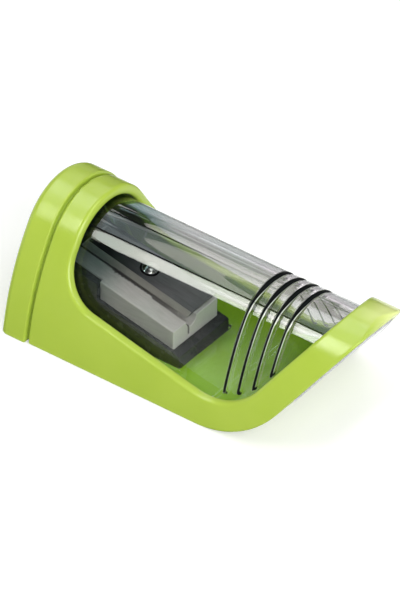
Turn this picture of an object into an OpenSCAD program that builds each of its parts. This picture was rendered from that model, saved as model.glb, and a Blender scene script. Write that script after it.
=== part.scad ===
// Pencil sharpener with a clear shavings drawer: a one-hole wedge sharpener is
// held in the cap of a drawer that slides out of an arched green case.

/* [Case] */
// Width of the case across its base
case_w = 35.2; // [33:0.2:42]
// Height of the case
case_h = 26.1; // [25:0.1:32]
// Radius of the round top of the arch
crown_r = 11.4; // [10:0.2:13]
// Radius of the curved flanks
flank_r = 49.6; // [40:0.4:80]
// Length of the case along its base, from the cap joint to the raked end
base_len = 48.6; // [46:0.2:70]
// Slope of the raked end from the base
rake = 54; // [48:0.5:62]
// Radius of the rounded toe under the raked end
toe_r = 21; // [12:0.5:24]
// Radius of the rounded tip over the raked end
tip_r = 1.2; // [0.6:0.1:2]
// Wall of the case
case_wall = 2; // [1.6:0.1:2.4]
// Thickness of the case floor
floor_t = 1.2; // [1:0.1:1.6]
// Height of the lip that stops the drawer, above the end of the toe's curve
lip_rise = 1; // [0.5:0.1:3]

/* [Window] */
// Width of the ring left between the cap joint and the window
ring_w = 5.3; // [4:0.1:8]
// Height of the sill line where it would meet the cap joint
sill_h = 12.5; // [12:0.1:14]
// Downward slope of the sill towards the raked end
sill_drop = 10; // [8:0.1:11.5]
// Radius of the window corner beside the ring
ring_corner_r = 8.1; // [5:0.1:10]
// Radius of the window corner beside the raked band
band_corner_r = 13; // [8:0.5:14]
// Width of the raked band over the window's far side
band_w = 5.5; // [5:0.1:8]

/* [Cap] */
// Length of the cap, from its outer face to the joint
cap_len = 6.3; // [5.5:0.1:9]
// Open joint between the cap and the case
joint_gap = 0.6; // [0.4:0.1:1]
// How far the cap stands proud of the case
cap_proud = 0.3; // [0:0.05:0.5]
// Rounding of the cap's outer edge
cap_round = 1.6; // [1:0.1:2]
// Thickness of the cap's end face
cap_face = 2; // [1.6:0.1:2.4]
// Radius of the pencil hole
hole_r = 4.1; // [4:0.05:4.4]

/* [Drawer] */
// Wall of the clear drawer
drawer_wall = 1.2; // [1:0.1:1.6]
// Floor of the clear drawer
drawer_floor = 0.8; // [0.6:0.1:1.2]
// How far the drawer reaches into the cap
drawer_plug = 3; // [2:0.1:3.4]
// How far the drawer's end stands out of the raked opening
drawer_proud = 0.4; // [0.2:0.1:0.8]
// Number of grip grooves
groove_count = 4; // [2:1:5]
// Width of a grip groove
groove_w = 1.4; // [0.8:0.1:1.6]
// Depth of a grip groove
groove_depth = 0.4; // [0.3:0.05:0.8]
// Pitch of the grip grooves
groove_pitch = 2.9; // [2.6:0.1:3.6]
// Place of the first grip groove, from the cap joint
groove_start = 42.3; // [40:0.1:46]
// Distance from the window's edge to the groove ends
groove_margin = 0.7; // [0.5:0.1:2]

/* [Sharpener] */
// Sideways place of the sharpener block and its holder
insert_y = -0.6; // [-1:0.1:0]
// Sideways place of the pencil's axis
pencil_y = -2.1; // [-2.2:0.05:-2]
// Height of the pencil's axis above the base
pencil_z = 8.3; // [8:0.05:8.8]
// Radius of the pencil hole in the block
socket_r = 3.75; // [3.6:0.05:3.85]
// Radius of the open point at the end of the pencil's cone
point_r = 0.35; // [0.3:0.05:0.5]
// How far the pencil's point lies beyond the block
point_reach = 0.5; // [0.3:0.1:1]
// Width of the block
block_w = 12.9; // [12.6:0.1:14]
// Distance from the cap joint to the block's front
block_start = 0.6; // [0.2:0.1:1]
// Slope of the block's top, which is the half angle of the pencil point
top_drop = 12.5; // [11:0.1:13]
// How far the blade's edge reaches below the top of the pencil's cone
bite = 0.12; // [0.06:0.01:0.2]
// Length of the finger grips cut in the block's sides
grip_len = 8.1; // [6:0.1:10]
// Depth of the finger grips
grip_depth = 0.8; // [0.4:0.05:0.9]
// Width of the chip slot along the blade's edge
slot_w = 0.5; // [0.3:0.05:0.8]
// Depth of the chip slot
slot_depth = 3.2; // [2.8:0.1:3.6]
// Radius of the notch that opens the chip slot at the block's small end
notch_r = 1.5; // [1.2:0.1:1.8]
// Length of that notch
notch_len = 2.5; // [1.5:0.1:3]

/* [Blade] */
// Sideways place of the blade's cutting edge
edge_y = -2.3; // [-2.5:0.05:-2.1]
// Length of the blade
blade_len = 24; // [22:0.1:24.4]
// Width of the blade
blade_w = 8.2; // [8:0.05:8.4]
// Thickness of the blade
blade_t = 0.5; // [0.4:0.05:0.7]
// Width of the ground bevel
bevel_w = 1.2; // [0.8:0.05:1.6]
// Distance of the blade's front end from the block's front
blade_inset = 0.8; // [0.2:0.1:1.2]
// Distance of the blade's far end from the block's end
blade_margin = 0.67; // [0.3:0.01:1.5]
// Radius of the screw's shank
shank_r = 0.8; // [0.7:0.05:0.9]
// Length of the screw's shank below the blade
shank_len = 1.8; // [1.5:0.1:2.2]
// Radius of the screw's head
head_r = 1.9; // [1.5:0.05:2.1]
// Height of the screw's head
head_h = 0.7; // [0.6:0.05:1.2]
// Height of the head's straight rim, below its dome
head_rim = 0.28; // [0.2:0.02:0.5]
// Width of the screw's slot
driver_slot = 0.5; // [0.3:0.05:0.7]
// Depth of the screw's slot
driver_depth = 0.35; // [0.2:0.05:0.5]

/* [Holder] */
// Wall of the holder tray
tray_wall = 0.85; // [0.7:0.05:1]
// Floor of the holder tray
tray_floor = 1; // [0.8:0.1:1.2]
// Thickness of the tray's end wall
tray_end = 2; // [1:0.1:2.6]
// Height of the block left bare above the tray's rim
bare_h = 3.7; // [3:0.1:4.2]
// How far the holder's ears stay below the block's top
ear_drop = 0.25; // [0.1:0.05:0.8]
// Thickness of the holder's back plate
plate_t = 1.5; // [1.2:0.1:2]
// How much wider the collar is than the cap's pencil hole, all round
collar_play = 0.3; // [0.1:0.1:0.5]
// Wall of the collar around the pencil
collar_wall = 1.3; // [1:0.1:1.6]

/* [Clearances] */
// Running gap between the case and the drawer
slide_gap = 0.3; // [0.2:0.05:0.4]
// Gap between the drawer and the holder
holder_gap = 0.3; // [0.2:0.05:0.4]
// Gap between the block and the tray's walls
block_gap = 0.02; // [0:0.01:0.05]
// Gap around the screw's shank
screw_gap = 0.05; // [0.02:0.01:0.1]

/* [Hidden] */
$fn = 96;

// Joints of the body: x runs from the cap joint, and the whole stands centred.
tip_reach = base_len + case_h / tan(rake);
overall_len = cap_len + tip_reach - tip_r / tan(rake / 2) + tip_r;
joint_x = cap_len - overall_len / 2;

// Distance that a cut runs past the body, and how far a blind cut runs past a face.
outside = 10;
past = 1;

// Thickness of the thin slices that a rounded edge is hulled from.
slice = 0.1;

// Arch: a crown circle that the two flank circles touch from outside.
half_w = case_w / 2;
crown = [0, case_h - crown_r];
foot = [half_w, 0];
crown_to_foot = norm(foot - crown);
along = ((flank_r - crown_r) ^ 2 - flank_r ^ 2 + crown_to_foot ^ 2) / (2 * crown_to_foot);
across = sqrt((flank_r - crown_r) ^ 2 - along ^ 2);
chord = (foot - crown) / crown_to_foot;
flank = crown + along * chord - across * [-chord[1], chord[0]];
blend_dir = (crown - flank) / norm(crown - flank);

function unit(v) = v / norm(v);
function rake_x(z, out = 0) = base_len + out / sin(rake) + z / tan(rake);
function sill_z(x) = sill_h - x * tan(sill_drop);
function top_z(x) = pencil_z - bite + (cone_tip - x) * tan(top_drop);

// Points of a rounded corner at b on the way from a to c.
function fillet(a, b, c, r, steps = 14) =
    let(
        u = unit(a - b),
        v = unit(c - b),
        half = acos(u * v) / 2,
        centre = b + unit(u + v) * r / sin(half),
        from = b + u * r / tan(half) - centre,
        to = b + v * r / tan(half) - centre,
        start = atan2(from[1], from[0]),
        turn = (atan2(to[1], to[0]) - start + 540) % 360 - 180
    )
    [for (i = [0:steps]) centre + r * [cos(start + turn * i / steps), sin(start + turn * i / steps)]];

// Drawer and holder places that follow from the sizes above.
drawer_inset = case_wall + slide_gap;
bay_inset = drawer_inset + drawer_wall;
drawer_z = floor_t + slide_gap;
lip_h = floor_t + (toe_r - case_wall) * (1 - cos(rake)) + lip_rise;
cap_inside = -cap_len + cap_face;
tray_z = drawer_z;
collar_r = hole_r + collar_play;
block_z = tray_z + tray_floor;
block_len = blade_inset + blade_len * cos(top_drop) + blade_margin;
block_end = block_start + block_len;
tray_end_x = block_end + block_gap + tray_end;
tray_side = block_w / 2 + block_gap + tray_wall;
cone_tip = block_end + point_reach;
cone_start = cone_tip - socket_r / tan(top_drop);
blade_place = [block_start + blade_inset, edge_y, top_z(block_start + blade_inset)];

// The arch seen along x, pulled in by inset and cut off below z0.
module arch(inset = 0, z0 = 0) {
    split = crown[1] + (crown_r - inset) * blend_dir[1];
    intersection() {
        translate(flank) circle(flank_r - inset, $fn = 180);
        translate([-flank[0], flank[1]]) circle(flank_r - inset, $fn = 180);
        translate([-half_w - past, z0]) square([case_w + 2 * past, split - z0]);
    }
    intersection() {
        translate(crown) circle(crown_r - inset);
        translate([-half_w, split]) square([case_w, case_h]);
    }
}

// The arch as a bar from x0 to x1.
module arch_bar(x0, x1, inset = 0, z0 = 0) {
    translate([x0, 0, 0]) rotate([90, 0, 90]) linear_extrude(x1 - x0) arch(inset, z0);
}

// A side outline in x and z, pushed through the whole width or from y0 to y1.
module side_cut(points, y0 = -half_w - outside, y1 = half_w + outside) {
    translate([0, y1, 0]) rotate([90, 0, 0]) linear_extrude(y1 - y0) polygon(points);
}

function case_outline() = concat(
    [[0, 0]],
    fillet([0, 0], [rake_x(0), 0], [rake_x(case_h), case_h], toe_r),
    fillet([rake_x(0), 0], [rake_x(case_h), case_h], [0, case_h], tip_r, 8),
    [[0, case_h]]
);

// Room inside the case, which turns up behind the lip and then runs out at the raked end.
function bay_outline(gap, out, x0) =
    let(
        z0 = floor_t + gap,
        lip_in = -case_wall - gap,
        step = lip_h + gap
    )
    concat(
        [[x0, z0]],
        fillet([x0, z0], [rake_x(z0, lip_in), z0], [rake_x(step, lip_in), step], toe_r - case_wall - gap),
        [
            [rake_x(step, lip_in), step],
            [rake_x(step, out), step],
            [rake_x(case_h + past, out), case_h + past],
            [x0, case_h + past]
        ]
    );

// The window, with its edges pulled in by inset.
function window_outline(inset = 0) =
    let(
        left = ring_w + inset,
        right = -band_w - inset,
        lift = inset / cos(sill_drop),
        low_left = [left, sill_z(left) + lift],
        meet = (sill_h + lift + tan(rake) * rake_x(0, right)) / (tan(rake) + tan(sill_drop)),
        low_right = [meet, sill_z(meet) + lift],
        top = case_h + past
    )
    concat(
        [[left, top]],
        fillet([left, top], low_left, low_right, ring_corner_r - inset),
        fillet(low_left, low_right, [rake_x(top, right), top], band_corner_r - inset),
        [[rake_x(top, right), top]]
    );

module case() {
    color([0.66, 0.78, 0.25])
    difference() {
        intersection() {
            arch_bar(0, tip_reach);
            side_cut(case_outline());
        }
        intersection() {
            arch_bar(-past, tip_reach + outside, case_wall, floor_t);
            side_cut(bay_outline(0, outside, -past));
        }
        side_cut(window_outline());
    }
}

module end_cap() {
    color([0.66, 0.78, 0.25])
    difference() {
        union() {
            arch_bar(-cap_len + cap_round, -joint_gap, -cap_proud);
            hull() for (turn = [0:30:90])
                arch_bar(
                    -cap_len + cap_round * (1 - sin(turn)), -cap_len + cap_round + slice,
                    cap_round * (1 - cos(turn)) - cap_proud
                );
        }
        arch_bar(cap_inside, past, case_wall, floor_t);
        pencil_way(-cap_len - past, hole_r, cap_face + 2 * past);
    }
}

module drawer() {
    color([0.75, 0.8, 0.8, 0.4])
    difference() {
        intersection() {
            arch_bar(-drawer_plug, tip_reach + outside, drawer_inset, drawer_z);
            side_cut(bay_outline(slide_gap, drawer_proud, -drawer_plug));
        }
        intersection() {
            arch_bar(-drawer_plug - past, tip_reach + outside, bay_inset, drawer_z + drawer_floor);
            side_cut(chips_outline());
        }
        translate([-drawer_plug - past, insert_y - tray_side - holder_gap, drawer_z - past])
            cube([
                tray_end_x + holder_gap + drawer_plug + past,
                2 * (tray_side + holder_gap),
                drawer_floor + 2 * past
            ]);
        for (i = [0:groove_count - 1]) groove(groove_start + i * groove_pitch);
    }
}

// Room for shavings inside the drawer.
function chips_outline() =
    let(
        z0 = drawer_z + drawer_floor,
        lip_in = -case_wall - slide_gap - drawer_wall,
        out = drawer_proud - drawer_wall,
        step = lip_h + slide_gap + drawer_wall
    )
    concat(
        [[-drawer_plug - past, z0]],
        fillet([0, z0], [rake_x(z0, lip_in), z0], [rake_x(step, lip_in), step],
            toe_r - case_wall - slide_gap - drawer_wall),
        [
            [rake_x(step, lip_in), step],
            [rake_x(step, out), step],
            [rake_x(case_h, out), case_h],
            [-drawer_plug - past, case_h]
        ]
    );

// One grip groove over the drawer's back, centred on x.
module groove(x) {
    intersection() {
        difference() {
            arch_bar(x - groove_w / 2, x + groove_w / 2, drawer_inset - past);
            arch_bar(x - groove_w, x + groove_w, drawer_inset + groove_depth, -past);
        }
        side_cut(window_outline(groove_margin));
    }
}

module holder() {
    rim = [for (x = [block_start + grip_len, block_end]) [x, top_z(x) - bare_h]];
    ear_end = block_start + grip_len;
    color([0.1, 0.11, 0.11])
    difference() {
        union() {
            arch_bar(cap_inside, cap_inside + plate_t, bay_inset + holder_gap, tray_z + drawer_floor + holder_gap);
            pencil_way(cap_inside, collar_r + collar_wall, block_start - cap_inside);
            side_cut([
                [cap_inside, tray_z],
                [tray_end_x, tray_z],
                [tray_end_x, rim[1][1]],
                rim[1],
                rim[0],
                [ear_end, top_z(ear_end) - ear_drop],
                [cap_inside + plate_t, top_z(block_start) - ear_drop],
                [cap_inside, top_z(block_start) - ear_drop]
            ], insert_y - tray_side, insert_y + tray_side);
        }
        translate([block_start, 0, 0]) sharpener_room();
        pencil_way(cap_inside - past, collar_r, block_start - cap_inside + 2 * past);
    }
}

// Room that the block takes in the holder, from the block's own front.
module sharpener_room() {
    w = block_w / 2 + block_gap;
    waist = w - grip_depth;
    translate([0, insert_y - waist, block_z]) cube([grip_len + past, 2 * waist, case_h]);
    translate([grip_len, insert_y - w, block_z]) cube([block_len - grip_len + block_gap, 2 * w, case_h]);
}

module sharpener_block() {
    color([0.62, 0.62, 0.61])
    difference() {
        side_cut([
            [block_start, block_z],
            [block_end, block_z],
            [block_end, top_z(block_end)],
            [block_start, top_z(block_start)]
        ], insert_y - block_w / 2, insert_y + block_w / 2);
        for (side = [-1, 1])
            translate([block_start - past, insert_y + side * block_w / 2 - grip_depth, block_z - past])
                cube([grip_len + past, 2 * grip_depth, case_h]);
        pencil_way(block_start - past, socket_r, cone_start - block_start + past);
        pencil_way(cone_start, socket_r, (socket_r - point_r) / tan(top_drop), point_r);
        chip_slot();
        on_blade_plane() translate([blade_len / 2, blade_w / 2, -shank_len - screw_gap])
            cylinder(r = shank_r + screw_gap, h = shank_len + past);
    }
}

// A round or tapered length of the pencil's way, from x on.
module pencil_way(x, r, length, end_r = undef) {
    translate([x, pencil_y, pencil_z]) rotate([0, 90, 0])
        cylinder(r1 = r, r2 = is_undef(end_r) ? r : end_r, h = length);
}

// The slot along the blade's edge, with the notch that opens it at the block's small end.
module chip_slot() {
    on_blade_plane() {
        translate([-outside, -slot_w, -slot_depth]) cube([blade_len + 2 * outside, slot_w, slot_depth + past]);
        translate([blade_len - notch_len, (notch_r - slot_w) / 2, 0]) rotate([0, 90, 0])
            cylinder(r = notch_r, h = notch_len + outside);
    }
}

// Places its children on the plane under the blade, from the blade's front corner.
module on_blade_plane() {
    translate(blade_place) rotate([0, top_drop, 0]) children();
}

module blade() {
    color([0.42, 0.43, 0.44])
    on_blade_plane() difference() {
        rotate([90, 0, 90]) linear_extrude(blade_len)
            polygon([[0, 0], [blade_w, 0], [blade_w, blade_t], [bevel_w, blade_t]]);
        translate([blade_len / 2, blade_w / 2, -past]) cylinder(r = shank_r + screw_gap, h = blade_t + 2 * past);
    }
}

module blade_screw() {
    color([0.8, 0.81, 0.8])
    on_blade_plane() translate([blade_len / 2, blade_w / 2, 0]) difference() {
        union() {
            translate([0, 0, -shank_len]) cylinder(r = shank_r, h = shank_len + blade_t);
            translate([0, 0, blade_t]) rotate_extrude() screw_head();
        }
        translate([-head_r - past, -driver_slot / 2, blade_t + head_h - driver_depth])
            cube([2 * (head_r + past), driver_slot, head_h]);
    }
}

// Half of the domed head's outline.
module screw_head() {
    rise = head_h - head_rim;
    dome = (head_r ^ 2 + rise ^ 2) / (2 * rise);
    intersection() {
        square([head_r, head_h]);
        translate([0, head_h - dome]) circle(dome);
    }
}

module placed() {
    translate([joint_x, 0, 0]) children();
}

placed() case();
placed() end_cap();
placed() drawer();
placed() holder();
placed() sharpener_block();
placed() blade();
placed() blade_screw();
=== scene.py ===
import bmesh, bpy, math
import numpy as np
from mathutils import Matrix, Vector
from mathutils.geometry import delaunay_2d_cdt


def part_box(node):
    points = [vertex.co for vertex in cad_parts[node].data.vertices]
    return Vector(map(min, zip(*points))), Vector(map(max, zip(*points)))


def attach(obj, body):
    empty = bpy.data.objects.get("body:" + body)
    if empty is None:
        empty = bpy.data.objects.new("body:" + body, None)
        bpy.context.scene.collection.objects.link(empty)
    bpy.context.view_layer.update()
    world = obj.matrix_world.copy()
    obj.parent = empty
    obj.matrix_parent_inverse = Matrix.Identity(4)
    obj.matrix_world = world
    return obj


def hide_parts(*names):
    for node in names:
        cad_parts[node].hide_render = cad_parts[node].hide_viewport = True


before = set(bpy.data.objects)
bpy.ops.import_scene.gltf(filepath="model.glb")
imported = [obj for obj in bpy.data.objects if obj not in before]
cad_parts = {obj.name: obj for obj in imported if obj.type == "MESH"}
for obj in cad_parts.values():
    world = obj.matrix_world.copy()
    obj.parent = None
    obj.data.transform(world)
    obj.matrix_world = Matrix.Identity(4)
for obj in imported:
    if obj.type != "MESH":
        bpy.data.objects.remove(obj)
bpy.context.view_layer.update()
print("sharpener: frame loaded")

# the pieces are modelled in millimetres along the case, x = 0 at the joint of cap and case
mm = 0.001
beyond = 40  # further than any cut has to reach
tiny = 1e-9  # keeps a division off zero
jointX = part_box("case")[0].x / mm
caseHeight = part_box("case")[1].z / mm
caseWidth = 2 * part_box("case")[1].y / mm

shell = {
    "crownRadius": 11.4,
    "flankRadius": 49.6,
    "baseLength": 48.6,
    "rake": math.radians(54),
    "toeRadius": 21,
    "tipRadius": 1.2,
    "wall": 2,
    "floor": 1.2,
    "lipRise": 1,
    "step": 0.3,
    "edge": 0.35,
    "rim": 0.85,
}
window = {
    "ring": 5.3,
    "sill": 12.5,
    "sillDrop": math.radians(10),
    "ringCorner": 8.1,
    "bandCorner": 13,
    "band": 5.5,
}
cap = {
    "length": 6.3,
    "gap": 0.6,
    "proud": 0.3,
    "round": 1.6,
    "face": 2,
    "roomEdge": 0.4,
    "hole": 4.1,
    "holeEdge": 0.35,
    "edge": 0.3,
    "lip": (0.75, 1.8),
    "lipFrom": 0.5,
    "lipTo": 0.08,
    "lipEdge": 0.1,
}
cover = {
    "wall": 1.2,
    "floor": 0.8,
    "plug": 3,
    "proud": 0.26,
    "play": 0.3,
    "fillet": 0.3,
    "slotEdge": 0.15,
    "edge": 0.25,
}
grips = {
    "count": 4,
    "width": 1.4,
    "depth": 0.4,
    "pitch": 2.9,
    "start": 42.3,
    "margin": 0.3,
    "footWall": 0.24,
    "crownWall": 0.18,
    "farWall": 0.7,
    "crownFrom": 12,
    "crownShade": 0.75,
    "shadeCurve": 8.0,
    "shadeFade": 0.08,
    "hook": 1.0,
    "hookWall": 0.42,
    "glint": 0.14,
    "glintRise": 2.0,
    "glintFoot": 0.1,
    "corner": 0.5,
}
pencil = {"y": -2.1, "z": 8.3, "socket": 3.75, "tipPast": 0.5}
block = {
    "y": -0.6,
    "width": 12.9,
    "start": 0.6,
    "length": 24.9,
    "drop": math.radians(12.5),
    "bite": 0.12,
    "dip": 0.09,
    "gripLength": 8.1,
    "gripDepth": 0.8,
    "slot": 0.5,
    "slotDepth": 3.2,
    "clearance": (16.5, 0.95, 0.45),
    "notch": 1.5,
    "notchLength": 2.5,
    "slotEdge": 0.1,
    "notchEdge": 0.12,
    "edge": 0.22,
    "sides": (-8, 7),
}
tray = {
    "gap": 0.3,
    "wall": 0.85,
    "floor": 1,
    "end": 2,
    "bare": 3.7,
    "earDrop": 0.25,
    "plate": 1.5,
    "collar": 1.3,
    "collarPlay": 0.3,
    "edge": 0.2,
}
blade = {
    "y": -2.3,
    "length": 24,
    "width": 8.2,
    "thick": 0.5,
    "bevel": 1.2,
    "inset": 0.8,
    "holePlay": 0.05,
    "holeSides": 32,
}
screw = {
    "shank": 0.8,
    "shankLength": 1.8,
    "head": 1.9,
    "collar": 0.14,
    "dome": 1.45,
    "height": 0.7,
    "rim": 0.1,
    "slot": 0.4,
    "slotDepth": 0.3,
    "collarShade": 0.06,
    "domeEdge": 0.16,
    "collarEdge": 0.05,
    "slotEdge": 0.07,
    "room": ((10, -1, 7), (17, 5, 14)),
}


# distance fields: a field takes points (3, n) and gives (distance, gradient)
def plane(normal, offset):
    n = np.array(normal, float)
    n /= np.linalg.norm(n)
    return lambda p: (n @ p - offset, np.repeat(n[:, None], p.shape[1], 1))


def rod(axis, centre, radius):
    keep = np.array([0.0 if i == axis else 1.0 for i in range(3)])[:, None]
    c = np.array(centre, float)[:, None]

    def field(p):
        q = (p - c) * keep
        far = np.maximum(np.linalg.norm(q, axis=0), tiny)
        return far - radius, q / far

    return field


def cone(y, z, tipX, slope):
    # opens towards -x from its tip
    def field(p):
        qy, qz = p[1] - y, p[2] - z
        far = np.maximum(np.hypot(qy, qz), tiny)
        s, c = math.sin(slope), math.cos(slope)
        d = far * c - (tipX - p[0]) * s
        return d, np.array([np.full_like(far, s), qy / far * c, qz / far * c])

    return field


def flip(f):
    def field(p):
        d, g = f(p)
        return -d, -g

    return field


def meet(f, h, radius=0.0):
    # what lies in both, with the shared edge rounded to a radius
    def field(p):
        a, ga = f(p)
        b, gb = h(p)
        first = a > b
        d = np.where(first, a, b)
        g = np.where(first, ga, gb)
        if radius > 0:
            k = (ga * gb).sum(0)
            a1, b1, flat = a + radius, b + radius, np.maximum(1 - k * k, 1e-4)
            u, v = (a1 - k * b1) / flat, (b1 - k * a1) / flat
            inArc = (u > 0) & (v > 0) & (1 - k * k > 1e-3)
            reach = np.sqrt(np.maximum(u * a1 + v * b1, 1e-12))
            d = np.where(inArc, reach - radius, d)
            g = np.where(inArc, (u * ga + v * gb) / reach, g)
        return d, g

    return field


def join(f, h, radius=0.0):
    return flip(meet(flip(f), flip(h), radius))


def cut(f, h, radius=0.0):
    return meet(f, flip(h), radius)


def slab(axis, low, high):
    n = np.eye(3)[axis]
    return meet(plane(-n, -low), plane(n, high))


def bar(low, high):
    f = slab(0, low[0], high[0])
    for axis in (1, 2):
        f = meet(f, slab(axis, low[axis], high[axis]))
    return f


def arch(inset=0.0):
    # a crown circle with a larger flank circle on each side that touches it from outside
    crown = np.array([0, caseHeight - shell["crownRadius"]])
    foot = np.array([caseWidth / 2, 0])
    apart = np.linalg.norm(foot - crown)
    r, flankR = shell["crownRadius"], shell["flankRadius"]
    along = ((flankR - r) ** 2 - flankR**2 + apart**2) / (2 * apart)
    across = math.sqrt((flankR - r) ** 2 - along**2)
    chord = (foot - crown) / apart
    flank = crown + along * chord - across * np.array([-chord[1], chord[0]])
    blend = (crown - flank) / np.linalg.norm(crown - flank)

    def field(p):
        side = np.where(p[1] < 0, -1.0, 1.0)
        y, z = np.abs(p[1]), p[2]
        onCrown = blend[0] * (z - crown[1]) - blend[1] * y > 0
        cy = np.where(onCrown, crown[0], flank[0])
        cz = np.where(onCrown, crown[1], flank[1])
        far = np.maximum(np.hypot(y - cy, z - cz), tiny)
        d = far - np.where(onCrown, r, flankR) + inset
        return d, np.array([np.zeros_like(far), (y - cy) / far * side, (z - cz) / far])

    return field


def rakePlane(out=0.0):
    s, c = math.sin(shell["rake"]), math.cos(shell["rake"])
    return plane((s, 0, -c), shell["baseLength"] * s + out)


def rakeX(z):
    return shell["baseLength"] + z / math.tan(shell["rake"])


def above(z):
    return plane((0, 0, -1), -z)


def rightOf(x):
    return plane((-1, 0, 0), -x)


def leftOf(x):
    return plane((1, 0, 0), x)


def bay(gap, out):
    # the room behind the lip, which runs out over it at the raked end
    lipIn = -shell["wall"] - gap
    toe = shell["toeRadius"] - shell["wall"] - gap
    behindLip = meet(above(shell["floor"] + gap), rakePlane(lipIn), toe)
    return join(behindLip, meet(above(lipHeight + gap), rakePlane(out)), shell["step"])


def windowRoom(inset=0.0):
    s, c = math.sin(window["sillDrop"]), math.cos(window["sillDrop"])
    sill = plane((-s, 0, -c), -window["sill"] * c - inset)
    room = meet(rightOf(window["ring"] + inset), sill, window["ringCorner"] - inset)
    return meet(room, rakePlane(-window["band"] - inset), window["bandCorner"] - inset)


def bladePlane():
    s, c = math.sin(block["drop"]), math.cos(block["drop"])
    return plane((s, 0, c), bladeStart[0] * s + bladeStart[2] * c)


def onBlade(u, v, w):
    # from the blade's front corner: u along it, v across it, w up from the block
    s, c = math.sin(block["drop"]), math.cos(block["drop"])
    return (bladeStart[0] + u * c + w * s, bladeStart[1] + v, bladeStart[2] - u * s + w * c)


def tiltToBlade(f):
    # a field written in the blade's own u, v, w
    s, c = math.sin(block["drop"]), math.cos(block["drop"])
    origin = np.array(bladeStart)[:, None]
    turn = np.array([[c, 0, -s], [0, 1, 0], [s, 0, c]])

    def field(p):
        d, g = f(turn @ (p - origin))
        return d, turn.T @ g

    return field


toeRise = (shell["toeRadius"] - shell["wall"]) * (1 - math.cos(shell["rake"]))
lipHeight = shell["floor"] + toeRise + shell["lipRise"]
drawerInset = shell["wall"] + cover["play"]
drawerZ = shell["floor"] + cover["play"]
capInside = -cap["length"] + cap["face"]
blockZ = drawerZ + tray["floor"]
blockEnd = block["start"] + block["length"]
trayEnd = blockEnd + tray["end"]
traySide = block["width"] / 2 + tray["wall"]
coneTip = blockEnd + pencil["tipPast"]


def topZ(x):
    return pencil["z"] - block["bite"] + (coneTip - x) * math.tan(block["drop"])


bladeX = block["start"] + blade["inset"]
bladeStart = (bladeX, blade["y"], topZ(bladeX))


def put(name, data):
    item = bpy.data.objects.new(name, data)
    bpy.context.scene.collection.objects.link(item)
    return item


# a closed quad mesh on a field's zero surface, with the field's own normals
def netMesh(name, field, low, high, cell, fine=None):
    # fine = (from x, to x, step) packs the grid closer along x
    lump, batch, pulls = 8, 400, 4
    low, cell = np.array(low, float) - 2 * np.array(cell), np.array(cell, float)
    if fine:
        before = np.arange(low[0], fine[0], cell[0])
        after = np.arange(fine[1], high[0] + beyond, cell[0])
        stops = np.concatenate([before, np.arange(*fine), after])
    lumps = np.ceil((np.array(high) + 2 * cell - low) / (cell * lump)).astype(int)
    if fine:
        lumps[0] = math.ceil(np.searchsorted(stops, high[0] + 2 * cell[0]) / lump)
    size = lumps * lump
    half = lump * np.linalg.norm(cell) / 2 + np.linalg.norm(cell)

    def at(index):
        place = low[:, None] + index * cell[:, None]
        if fine:
            place[0] = np.interp(index[0], np.arange(len(stops)), stops)
        return place

    # whole lumps far from the surface are filled from their middle
    coarse = np.indices(lumps).reshape(3, -1)
    d = field(at(coarse * lump + (lump - 1) / 2))[0]
    grid = d.reshape(lumps).astype(np.float32)
    for axis in range(3):
        grid = np.repeat(grid, lump, axis)
    near = coarse[:, np.abs(d) < half]
    inner = np.indices((lump,) * 3).reshape(3, -1)
    for part in np.array_split(near, max(1, near.shape[1] // batch), axis=1):
        index = (part[:, :, None] * lump + inner[:, None, :]).reshape(3, -1)
        grid[tuple(index)] = field(at(index))[0]

    solid = grid < 0
    corners = [(i, j, k) for i in (0, 1) for j in (0, 1) for k in (0, 1)]
    count = sum(
        solid[i : size[0] - 1 + i, j : size[1] - 1 + j, k : size[2] - 1 + k].astype(np.int8)
        for i, j, k in corners
    )
    cells = np.array(np.nonzero((count > 0) & (count < 8)))
    # one point to a cell, at the mean of where the surface crosses its edges
    total, hits = np.zeros((3, cells.shape[1])), np.zeros(cells.shape[1])
    for a in corners:
        for axis in range(3):
            if a[axis]:
                continue
            b = tuple(v + (n == axis) for n, v in enumerate(a))
            ia, ib = cells + np.array(a)[:, None], cells + np.array(b)[:, None]
            da, db = grid[tuple(ia)], grid[tuple(ib)]
            crosses = (da < 0) != (db < 0)
            t = np.where(crosses, da / np.where(crosses, da - db, 1), 0)
            total += np.where(crosses, ia + t * (ib - ia), 0)
            hits += crosses
    start = at(total / hits)
    points = start.copy()
    for _ in range(pulls):
        d, g = field(points)
        points -= d * g
        points = np.clip(points, start - cell[:, None], start + cell[:, None])

    # one quad across each grid edge that the surface crosses
    lookup = np.full(size, -1, np.int32)
    lookup[tuple(cells)] = np.arange(cells.shape[1])
    quads = []
    for axis in range(3):
        u, v = (axis + 1) % 3, (axis + 2) % 3
        step = np.eye(3, dtype=int)[axis]
        a = solid[: size[0] - step[0], : size[1] - step[1], : size[2] - step[2]]
        b = solid[step[0] :, step[1] :, step[2] :]
        edge = np.array(np.nonzero(a != b))
        outward = a[tuple(edge)]
        ring = []
        for du, dv in ((0, 0), (1, 0), (1, 1), (0, 1)):
            back = np.zeros((3, 1), int)
            back[u], back[v] = du, dv
            ring.append(lookup[tuple(edge - back)])
        ring = np.array(ring)
        quads.append(np.where(outward, ring, ring[::-1]).T)
    quads = np.concatenate(quads)

    mesh = bpy.data.meshes.new(name)
    moved = (points.T + [jointX, 0, 0]) * mm
    mesh.from_pydata(moved.tolist(), [], quads.tolist())
    mesh.polygons.foreach_set("use_smooth", np.ones(len(mesh.polygons), bool))
    g = field(points)[1]
    mesh.normals_split_custom_set_from_vertices((g / np.linalg.norm(g, axis=0)).T.tolist())
    print("sharpener:", name, len(mesh.polygons), "faces")
    return put(name, mesh)


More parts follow.
